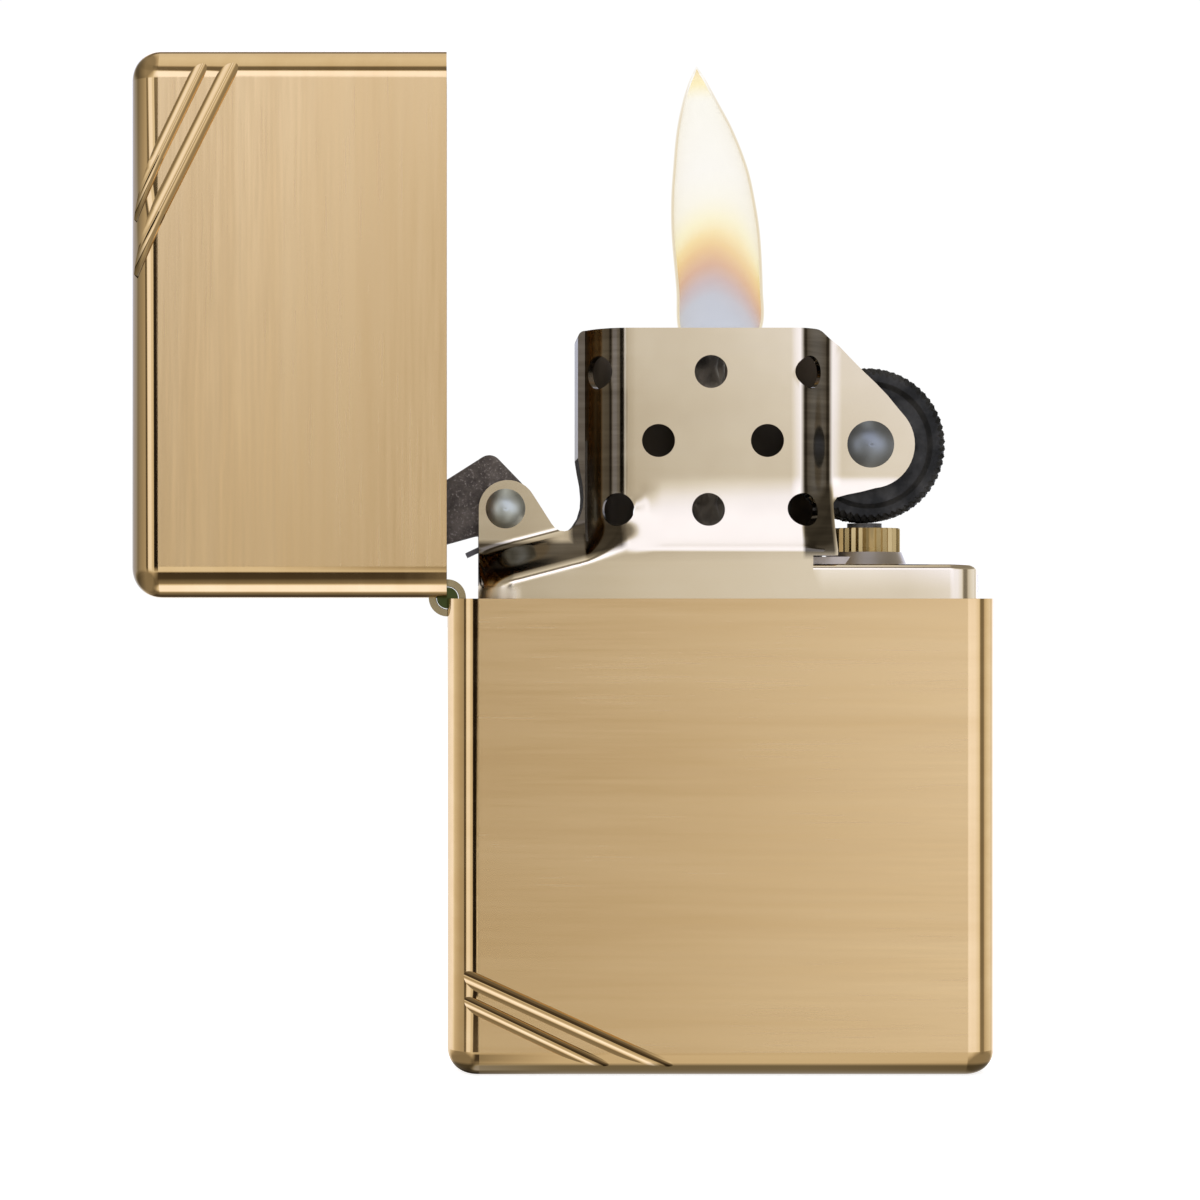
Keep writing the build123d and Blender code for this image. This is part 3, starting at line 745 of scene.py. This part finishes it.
def shelf_body():
    """Solid of the tank's right part, with its rounded rim."""
    edge, start, corner = 0.4, 4.0, 1.25
    xs = steps(start, TANK_X1 - TANK_R, 3.0) + steps(TANK_X1 - TANK_R, TANK_X1, 0.12)[1:]

    def depth(x, z):
        shrink = 0.0
        if z > SHELF_Z - edge:
            shrink = edge - math.sqrt(max(0.0, edge**2 - (z - SHELF_Z + edge) ** 2))
        return plan_corner(x + shrink if x > RIGHT_END else x, TANK_X0, TANK_X1, TANK_D, TANK_R) - shrink

    rim = [SHELF_Z - edge + edge * math.sin(math.radians(a)) for a in range(0, 91, 10)]
    shelf = pillow("shelf", xs, [TANK_Z0, 18.0, 33.0] + rim, depth)
    outline = [(start - 1, 0.0), (TANK_X1, 0.0)]
    outline += arc((TANK_X1 - corner, SHELF_Z - corner), corner, 0, 90, 10)
    outline += [(start - 1, SHELF_Z)]
    combine(shelf, prism("shoulder", outline, PAST), "INTERSECT")
    return shelf


def hollow_tank(body):
    """Cuts out the room for the packing, open below."""
    xs = steps(TANK_X0 + SHEET, TANK_X0 + TANK_R, 0.3)
    xs += steps(TANK_X0 + TANK_R, TANK_X1 - TANK_R, 4.0)[1:]
    xs += steps(TANK_X1 - TANK_R, TANK_X1 - SHEET, 0.3)[1:]

    def depth(x, _):
        return plan_corner(x, TANK_X0 + SHEET, TANK_X1 - SHEET, TANK_D - SHEET, TANK_R - SHEET)

    combine(body, pillow("room", xs, [TANK_Z0 - 1, 33.0], depth), "DIFFERENCE")
    shelf_xs = [x for x in xs if x > 4.0]
    combine(body, pillow("shelf_room", shelf_xs, [30.0, SHELF_Z - SHEET], depth), "DIFFERENCE")


def hollow_chimney(body):
    """Cuts out the flue, the gap between the cheeks and the slot between the ears."""
    xs = steps(CHIMNEY_X0 + SHEET + 0.02, FLAT_X0, FINE) + steps(FLAT_X0, FLAT_X1, 2.0)[1:]
    xs += steps(FLAT_X1, CHEEK_X, FINE)[1:] + [CHEEKS_END + 2]

    def depth(x, _):
        return chimney_depth(x, SHEET)

    left_xs = [x for x in xs if x < RIGHT_END]
    left_zs = [32.5, SHELF_Z + 0.1, CHIMNEY_TOP + 1]
    combine(body, pillow("flue_left", left_xs, left_zs, depth), "DIFFERENCE")
    combine(body, pillow("flue", xs, [SHELF_Z + 0.12, CHIMNEY_TOP + 1], depth), "DIFFERENCE")
    combine(body, block("ear_slot", -20, EAR_END, EAR_GAP, 34.0, 50), "DIFFERENCE")


def sheet_zone(polygon):
    """Which material a face has: 0 bright sheet, 1 darker steel inside the chimney, 2 painted shade on the
    cut edge of the foot.
    """
    x, y, z = (c / MM for c in polygon.center)
    # painted shade: the foot's left-facing cut edge gets the near-black material
    if polygon.normal.x < -0.55 and EAR_END < x < -9.2 and 37.0 < z < 44.0:
        return 2
    inside = CHIMNEY_X0 < x < CHEEK_X and abs(y) < chimney_depth(x, SHEET - 0.03) + 0.02
    return 1 if inside and z > 34.5 else 0


def make_housing(*materials):
    """Folded sheet of the insert: tank, shoulders, ears, chimney and wheel cheeks."""
    body = shell_body()
    combine(body, shelf_body(), "UNION")
    hollow_tank(body)
    hollow_chimney(body)
    combine(body, air_drills(), "DIFFERENCE")
    combine(body, rod("tube_hole", (WHEEL_X, 0, SHELF_Z), (0, 0, 1), 1.72, 3.0), "DIFFERENCE")
    for material in materials:
        body.data.materials.append(material)
    for polygon in body.data.polygons:
        polygon.material_index = sheet_zone(polygon)
    soften(body, 32)
    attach(body, "insert")
    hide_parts("insert_housing")


# ---- spark wheel ----------------------------------------------------------------------------------
TEETH, PER_TOOTH = 64, 8
WHEEL_COUNT = TEETH * PER_TOOTH  # vertices in a ring


def file_radius(i, y, radius, half):
    """Radius of the toothed rim at vertex i, with cross cuts and bevelled edges."""
    tooth = abs((i / PER_TOOTH + abs(y) * 1.5) % 1.0 * 2 - 1)
    cross = abs(((i / PER_TOOTH) * 0.5 - abs(y) * 2.4) % 1.0 * 2 - 1)
    edge = max(0.0, abs(y) - (half - 0.38))
    return radius - 0.02 - edge * 0.9 - 0.24 * (1 - tooth) - 0.10 * smoothstep(cross, 0.75, 1.0)


def wheel_ring(y, radius_at):
    """One ring of vertices round the axle."""
    ring = []
    for i in range(WHEEL_COUNT):
        c, s = on_circle(i, WHEEL_COUNT)
        r = radius_at(i)
        ring.append((WHEEL_X + r * c, y, WHEEL_Z + r * s))
    return ring


def make_wheel(material):
    """Wheel with file teeth cut at opposite slants on its two halves."""
    radius = (WHEEL_HI[2] - WHEEL_LO[2]) / 2
    half = (WHEEL_HI[1] - WHEEL_LO[1]) / 2
    rings = [wheel_ring(y, lambda i, y=y: file_radius(i, y, radius, half)) for y in steps(-half, half, 0.14)]
    # radius and depth of the rings on each side face: a groove round the hub, then the bore
    face = ((radius - 1.0, 0.0), (radius - 1.35, 0.22), (2.0, 0.22), (1.7, 0.0), (0.97, 0.0))
    front = [wheel_ring(depth - half, lambda _, r=r: r) for r, depth in face]
    back = [wheel_ring(half - depth, lambda _, r=r: r) for r, depth in face]
    rings = front[::-1] + rings + back
    vertices = [p for ring in rings for p in ring]
    faces = []
    for k in range(len(rings)):
        faces += band(k * WHEEL_COUNT, (k + 1) % len(rings) * WHEEL_COUNT, WHEEL_COUNT)
    wheel = new_object("knurled_wheel", vertices, faces, material)
    soften(wheel, 28)
    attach(wheel, "wheel")
    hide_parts("spark_wheel")


# ---- fuel side ------------------------------------------------------------------------------------
WICK_SIDES = 72
WICK_X = (WICK_LO[0] + WICK_HI[0]) / 2
STRANDS, TWIST = 6, 2.6


def braid_ring(z, radius):
    """One ring of the braid, frayed near the top."""
    fray = smoothstep(z, WICK_HI[2] - 1.6, WICK_HI[2])
    ring = []
    for i in range(WICK_SIDES):
        c, s = on_circle(i, WICK_SIDES)
        angle = 2 * math.pi * i / WICK_SIDES
        weave = max(math.sin(STRANDS * angle + z * TWIST), math.sin(STRANDS * angle - z * TWIST))
        wobble = noise.noise(Vector((c * 2, s * 2, z * 1.5)))
        r = radius * (0.90 + 0.09 * weave) * (1 - 0.10 * fray) + 0.10 * wobble * fray
        ring.append((WICK_X + r * c, r * s, z))
    return ring


def frayed_ring(share, drop, radius):
    """One ring of the wick's lumpy end, at a share of its radius."""
    ring = []
    for i in range(WICK_SIDES):
        c, s = on_circle(i, WICK_SIDES)
        r = radius * 0.85 * share
        lump = 0.12 * noise.noise(Vector((r * c * 3, r * s * 3, 4.0)))
        ring.append((WICK_X + r * c, r * s, WICK_HI[2] - 0.13 - drop + lump))
    return ring


def make_wick(material):
    """Braided cotton wick with a frayed, scorched end."""
    radius = (WICK_HI[0] - WICK_LO[0]) / 2 - 0.03
    rings = [braid_ring(z, radius) for z in steps(WICK_LO[2], WICK_HI[2], 0.16)]
    rings += [frayed_ring(share, drop, radius) for share, drop in ((0.75, 0.0), (0.45, 0.12), (0.15, 0.05))]
    vertices = [p for ring in rings for p in ring]
    faces = [tuple(range(WICK_SIDES))]
    for k in range(len(rings) - 1):
        faces += band(k * WICK_SIDES, (k + 1) * WICK_SIDES, WICK_SIDES)
    faces.append(tuple(range(len(vertices) - WICK_SIDES, len(vertices))))
    wick = new_object("braided_wick", vertices, faces, material)
    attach(wick, "insert")
    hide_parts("wick")


def soft_block(name, lo, hi, corner, edge, lumps, material, holes):
    """Pad with rounded corners, a crowned top and uneven faces, threaded by rods."""
    xs = steps(lo[0], hi[0], 0.7)
    middle = (lo[2] + hi[2]) / 2
    half_h = (hi[2] - lo[2]) / 2
    zs = [middle + half_h * math.sin(math.radians(a)) for a in range(-90, 91, 15)]

    def depth(x, z):
        lift = abs(z - middle) / half_h
        shrink = edge * (1 - math.sqrt(max(0.0, 1 - lift**4)))
        lump = lumps * (noise.noise(Vector((x * 0.5, z * 0.8, 1.7))) - 0.5)
        return max(0.2, plan_corner(x, lo[0], hi[0], hi[1], corner) - shrink + min(0.0, lump))

    pad = pillow(name, xs, zs, depth)
    for x, r in holes:
        combine(pad, rod("thread", (x, 0, middle), (0, 0, 1), r, half_h * 2 + 2), "DIFFERENCE")
    for vertex in pad.data.vertices:
        x, y, z = (c / MM for c in vertex.co)
        sag = lumps * (noise.noise(Vector((x * 0.35, y * 0.35, middle))) - 0.5)
        vertex.co.z += min(0.0, sag) * MM * (1 if z > middle else -1)
    pad.data.materials.append(material)
    soften(pad, 50)
    return pad


def make_pads(cotton, felt):
    """Five cotton pads in the tank and the felt that closes it."""
    tube_hole, wick_hole = (WHEEL_X, 1.8), (WICK_X, 1.6)
    count, gap = 5, 0.2
    pitch = (PADS_HI[2] - PADS_LO[2] + gap) / count
    for i in range(count):
        z0 = PADS_LO[2] + i * pitch
        lo = (PADS_LO[0], PADS_LO[1], z0)
        hi = (PADS_HI[0], PADS_HI[1], z0 + pitch - gap)
        pad = soft_block(f"cotton_pad_{i + 1}", lo, hi, 1.6, 0.8, 0.5, cotton, (tube_hole, wick_hole))
        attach(pad, "insert")
        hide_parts("packing_pads")
    base = soft_block("pressed_felt", FELT_LO, FELT_HI, 1.8, 0.3, 0.12, felt, (tube_hole,))
    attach(base, "insert")
    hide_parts("felt_pad")


# ---- flame ------------------------------------------------------------------------------------------
FLAME_BASE = 50.4
FLAME_TIP = 71.15
# height, left and right side of the flame's outline
FLAME_OUTLINE = (
    (FLAME_BASE, -1.9, 2.2),
    (52.5, -2.62, 3.42),
    (55.1, -2.72, 3.45),
    (59.0, -3.05, 3.25),
    (61.5, -3.09, 2.88),
    (63.8, -2.95, 2.36),
    (66.5, -2.70, 1.32),
    (68.7, -2.25, 0.16),
    (70.2, -1.75, -0.66),
    (FLAME_TIP, -1.29, -1.27),
)


def flame_at(z):
    """Middle and radius of the flame at a height, eased between the outline's points."""
    points = FLAME_OUTLINE
    z = min(max(z, points[0][0]), points[-1][0])
    for k in range(len(points) - 1):
        if z <= points[k + 1][0]:
            break
    before = points[max(0, k - 1)]
    a, b = points[k], points[k + 1]
    after = points[min(len(points) - 1, k + 2)]
    t = (z - a[0]) / (b[0] - a[0])
    sides = []
    for n in (1, 2):
        m0 = (b[n] - before[n]) / (b[0] - before[0]) * (b[0] - a[0])
        m1 = (after[n] - a[n]) / (after[0] - a[0]) * (b[0] - a[0])
        h00, h10 = 2 * t**3 - 3 * t**2 + 1, t**3 - 2 * t**2 + t
        h01, h11 = -2 * t**3 + 3 * t**2, t**3 - t**2
        sides.append(h00 * a[n] + h10 * m0 + h01 * b[n] + h11 * m1)
    return (sides[0] + sides[1]) / 2, max(0.01, (sides[1] - sides[0]) / 2)


FLAME_SIDES = 56


def turned(name, rows, material):
    """Closed shell from (height, middle, radius) rows."""
    vertices, faces = [], []
    for z, x, r in rows:
        for i in range(FLAME_SIDES):
            c, s = on_circle(i, FLAME_SIDES)
            vertices.append((x + r * c, r * s, z))
    for k in range(len(rows) - 1):
        faces += band(k * FLAME_SIDES, (k + 1) * FLAME_SIDES, FLAME_SIDES)
    faces.append(tuple(range(FLAME_SIDES)))
    faces.append(tuple(range(len(vertices) - FLAME_SIDES, len(vertices))))
    return new_object(name, vertices, faces, material)


def hollow_flame(name, rows, thickness, material):
    """Thin skin just inside the given rows, closed at its foot."""
    inner = []
    for z, x, r in rows[1:-2]:
        inner.append((z, x, max(0.02, r - thickness * min(1.0, (FLAME_TIP - z) / 3))))
    outside = turned(name + "_outside", rows, None)
    inside = turned(name + "_inside", inner, None)
    for polygon in inside.data.polygons:
        polygon.flip()
    skin = join(name, [outside, inside])
    skin.data.materials.append(material)
    for polygon in skin.data.polygons:
        polygon.use_smooth = True
    return skin


def make_flame():
    """Body of light that rounds off at the foot, and a thin warm skin round it."""
    skin_gap = 0.22
    whole, body = [], []
    for z in steps(FLAME_BASE, FLAME_TIP, 0.3):
        x, r = flame_at(z)
        whole.append((z, x, r))
        if FLAME_BASE + 0.1 < z < FLAME_TIP - 0.25:
            body.append((z, x, max(0.03, r - skin_gap)))
    pieces = [
        hollow_flame("flame_skin", whole, 0.17, glowing_rim("skin_light", (0.62, 0.46, 0.17), 0.55)),
        turned("flame_body", body, flame_light()),
    ]
    for piece in pieces:
        piece.visible_shadow = False
        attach(piece, "insert")
        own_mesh(piece)


# ---- flint spring -----------------------------------------------------------------------------------
def make_flint_spring():
    """The coil under the flint, a copy of the CAD spring attached to the spring seat."""
    rigid = NODES["flint_spring"]
    coil = bpy.data.objects.new("flint_coil", rigid.data.copy())
    coil.matrix_world = rigid.matrix_world
    bpy.context.scene.collection.objects.link(coil)
    bpy.context.view_layer.update()
    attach(coil, "spring_seat")
    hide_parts("flint_spring")
    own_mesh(coil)


# ---- studio -----------------------------------------------------------------------------------------
# brightness by direction, in degrees from the front, + to the right
SIDE_STRIPS = (
    (-180, 0.95), (-112, 1.3), (-100, 0.85), (-72, 0.58), (-58, 0.50), (-55, 0.10), (-50, 0.10),
    (-46, 1.15), (-34, 1.15), (-30, 0.85), (-24, 0.85), (-22, 0.02), (-9, 0.02), (-7.5, 0.95),
    (-4, 0.84), (-0.5, 0.30), (1.5, 0.47), (6, 0.71), (10.5, 0.92), (14, 1.08), (22, 1.22),
    (38, 1.22), (55, 1.0), (61, 0.27), (74, 0.27), (80, 0.75), (94, 0.95), (112, 1.05),
    (122, 0.8), (134, 1.5), (150, 1.4), (180, 0.95),
)
# brightness by height, in degrees above the level
LEVEL_STRIPS = (
    (-90, 1.5), (-76, 1.5), (-66, 0.35), (-54, 0.22), (-46, 0.10), (-24, 0.08), (-19, 0.98),
    (-10, 1.0), (-1, 0.97), (1.5, 0.92), (4, 1.08), (7, 1.30), (12, 1.5), (33, 1.45), (38, 0.22),
    (50, 0.22), (57, 0.85), (90, 0.95),
)
# tint of the room's light by half its brightness: warm where dim, cool where bright
ROOM_TINTS = (
    (0.0, (0.80, 0.62, 0.45)), (0.12, (0.95, 0.86, 0.70)), (0.28, (1.0, 0.925, 0.79)),
    (0.45, (1.0, 1.0, 1.0)), (0.6, (0.97, 1.03, 1.30)),
)
EVEN = 0.9  # brightness where a set of strips doesn't count


def strips(nodes, turn, stops, reach):
    """Brightness of strips between -reach and reach degrees, where turn goes from 0 to 1."""
    ramp_stops = [((angle + reach) / (2 * reach), (bright / 2,) * 3) for angle, bright in stops]
    return nodes.times(nodes.ramp(turn, ramp_stops), 2.0)


def fade_to(nodes, value, plain, share):
    """The value where share is 0, the plain brightness where it is 1."""
    return nodes.plus(nodes.times(value, nodes.less(1.0, share)), nodes.times(share, plain))


def room_brightness(nodes):
    """Strips beside count near the horizon, strips above and below count straight ahead."""
    x, y, z = nodes.split(nodes.node("TexCoord").outputs["Generated"])
    turn = nodes.maths("ARCTAN2", x, nodes.times(y, -1.0))
    sides = strips(nodes, nodes.maths("MULTIPLY_ADD", turn, 0.5 / math.pi, 0.5), SIDE_STRIPS, 180)
    height = nodes.maths("ARCSINE", z)
    levels = strips(nodes, nodes.maths("MULTIPLY_ADD", height, 1.0 / math.pi, 0.5), LEVEL_STRIPS, 90)
    below = nodes.spread(nodes.times(z, -1.0), 0.20, 0.27)
    low_right = nodes.times(below, nodes.spread(x, -0.01, 0.04))
    levels = fade_to(nodes, levels, 0.80, low_right)
    sideways = nodes.times(nodes.spread(nodes.size_of(x), 0.22, 0.45), 0.85)
    upward = nodes.spread(nodes.size_of(z), 0.14, 0.38)
    corner = nodes.spread(nodes.size_of(nodes.times(x, z)), 0.13, 0.27)
    dimmed = nodes.less(1.0, nodes.times(corner, 0.6))
    beside = nodes.times(fade_to(nodes, sides, EVEN, upward), dimmed)
    return nodes.times(beside, fade_to(nodes, levels, EVEN, sideways))


def make_world():
    """Pale studio: white to look at, with soft strips and dark flags round the object."""
    world = bpy.data.worlds.new("studio")
    bpy.context.scene.world = world
    world.use_nodes = True
    nodes = Nodes(world.node_tree)
    nodes.tree.nodes.clear()
    strength = room_brightness(nodes)
    room = nodes.node("Background")
    nodes.link(nodes.ramp(nodes.times(strength, 0.5), ROOM_TINTS), room.inputs["Color"])
    nodes.link(strength, room.inputs["Strength"])
    backdrop = nodes.node("Background")
    backdrop.inputs["Color"].default_value = (1, 1, 1, 1)
    backdrop.inputs["Strength"].default_value = 1.02
    choose = nodes.node("MixShader")
    nodes.link(nodes.node("LightPath").outputs["Is Camera Ray"], choose.inputs[0])
    nodes.link(room.outputs[0], choose.inputs[1])
    nodes.link(backdrop.outputs[0], choose.inputs[2])
    nodes.link(choose.outputs[0], nodes.node("OutputWorld").inputs["Surface"])


def make_floor():
    """Pale floor. It takes the shadow but isn't mirrored in the polished metal."""
    s = Shader("pale_floor")
    grain = s.noise(s.place(), 300.0, 2.0)
    s.colour(s.blend(s.spread(grain, 0.3, 0.7), (0.90, 0.90, 0.90), (0.93, 0.93, 0.93)))
    s.put(Roughness=0.9, Specular_IOR_Level=0.0, Emission_Color=(1, 1, 1, 1), Emission_Strength=0.78)
    size, under = 3000.0, -0.02
    corner_places = [(-size, -size, under), (size, -size, under), (size, size, under), (-size, size, under)]
    floor = new_object("floor", corner_places, [(0, 1, 2, 3)], s.material)
    floor.visible_glossy = False


def area_light(name, place, target, size, power):
    """Round soft light, places and size in metres, not seen in the metal."""
    data = bpy.data.lights.new(name, "AREA")
    data.shape = "DISK"
    data.size = size
    data.energy = power
    lamp = bpy.data.objects.new(name, data)
    lamp.location = place
    lamp.rotation_euler = (Vector(target) - Vector(place)).to_track_quat("-Z", "Y").to_euler()
    lamp.visible_glossy = False
    bpy.context.scene.collection.objects.link(lamp)


def make_lights():
    """A light above and a weaker one in front."""
    area_light("top_light", (0.05, -0.15, 0.75), (0, 0, 0.02), 0.6, 5.0)
    area_light("front_fill", (-0.25, -0.7, 0.30), (0, 0, 0.03), 0.5, 2.0)


def make_camera():
    """Level view from the front, in line with the hinge, with the picture shifted right."""
    data = bpy.data.cameras.new("camera")
    data.sensor_width = 36.0
    data.lens = 79.6
    data.shift_x = 0.1242
    data.clip_start = 0.01
    data.clip_end = 20.0
    camera = bpy.data.objects.new("camera", data)
    hinge_line_x, level, stand_off = -18.8, 33.0, 183.0
    camera.location = (hinge_line_x * MM, (CASE_LO[1] - stand_off) * MM, level * MM)
    camera.rotation_euler = (math.radians(90), 0, 0)
    bpy.context.scene.collection.objects.link(camera)
    bpy.context.scene.camera = camera


# ---- dressing the object ------------------------------------------------------------------------------
# name, light and deep colour, roughness, scale of the scratches, CAD nodes made of it
METALS = (
    ("hinge_strip", (0.72, 0.60, 0.38), (0.50, 0.42, 0.26), 0.22, (900.0, 60.0, 900.0),
     ("hinge_leaf_case", "hinge_leaf_lid")),
    ("hinge_wire", (0.16, 0.18, 0.07), (0.07, 0.09, 0.03), 0.35, (2000.0, 90.0, 2000.0), ("hinge_pin",)),
    ("plate_steel", (0.62, 0.56, 0.46), (0.48, 0.43, 0.36), 0.25, (900.0, 120.0, 900.0),
     ("lid_stop_plate",)),
    ("rivet_steel", (0.70, 0.73, 0.68), (0.55, 0.58, 0.54), 0.42, (1400.0, 1400.0, 1400.0),
     ("cam_rivet", "cam_spring_rivet")),
    ("dark_rivet_steel", (0.37, 0.395, 0.42), (0.25, 0.27, 0.295), 0.40, (1400.0, 1400.0, 1400.0),
     ("wheel_rivet",)),
    ("blued_spring", (0.16, 0.15, 0.15), (0.07, 0.07, 0.08), 0.35, (150.0, 1500.0, 1500.0),
     ("cam_spring", "flint_spring")),
    ("dark_plate", (0.64, 0.575, 0.515), (0.35, 0.31, 0.27), 0.34, (900.0, 900.0, 300.0),
     ("tube_flange",)),
    ("turned_brass", (0.60, 0.45, 0.21), (0.32, 0.23, 0.09), 0.24, (300.0, 300.0, 2600.0),
     ("flint_tube", "flint_screw", "flint_plunger")),
)
CASE_PAINTED_SHADE = (2, 0.82, 1.05, 0.92)  # painted shade along the lower edge
LID_PAINTED_SHADE = (0, LID_LO[0] + 0.55, LID_LO[0] + 1.1, 0.88)  # painted shade at the closed end


def dress_nodes():
    """Materials of the CAD nodes that stay in sight."""
    case_flats = [(1, CASE_LO[1]), (1, CASE_HI[1]), (0, CASE_LO[0]), (0, CASE_HI[0]), (2, 0.0)]
    dress("case_bottom", brushed_brass("brushed_case", 0, case_flats, 5.0, CASE_PAINTED_SHADE))
    lid_flats = [(1, LID_LO[1]), (1, LID_HI[1]), (0, LID_LO[0]), (2, LID_LO[2]), (2, LID_HI[2])]
    dress("lid", brushed_brass("brushed_lid", 2, lid_flats, 1.5, LID_PAINTED_SHADE))
    for name, light, deep, rough, streaks, nodes in METALS:
        metal = polished_metal(name, light, deep, rough, streaks)
        for node in nodes:
            dress(node, metal)
    dress("flint", flint_material())
    dress("cam_lever", sintered_iron())


make_camera()
make_world()
make_floor()
make_lights()
dress_nodes()
# darker steel for the faces inside the chimney
dark_inside = polished_metal("dark_inside_steel", (0.17, 0.145, 0.115), (0.09, 0.076, 0.060), 0.45, (600.0,) * 3)
make_housing(housing_steel(), dark_inside, painted_shade_edge())
make_wheel(wheel_steel())
make_wick(fibre("wick_cotton", (0.80, 0.72, 0.56), (0.55, 0.46, 0.33), 2600.0, top_z=WICK_HI[2]))
make_pads(
    fibre("packing_cotton", (0.90, 0.88, 0.83), (0.74, 0.71, 0.65), 1800.0),
    fibre("felt_wool", (0.78, 0.76, 0.70), (0.60, 0.57, 0.51), 3200.0),
)
make_flame()
make_flint_spring()
bpy.context.scene.view_settings.view_transform = "Standard"
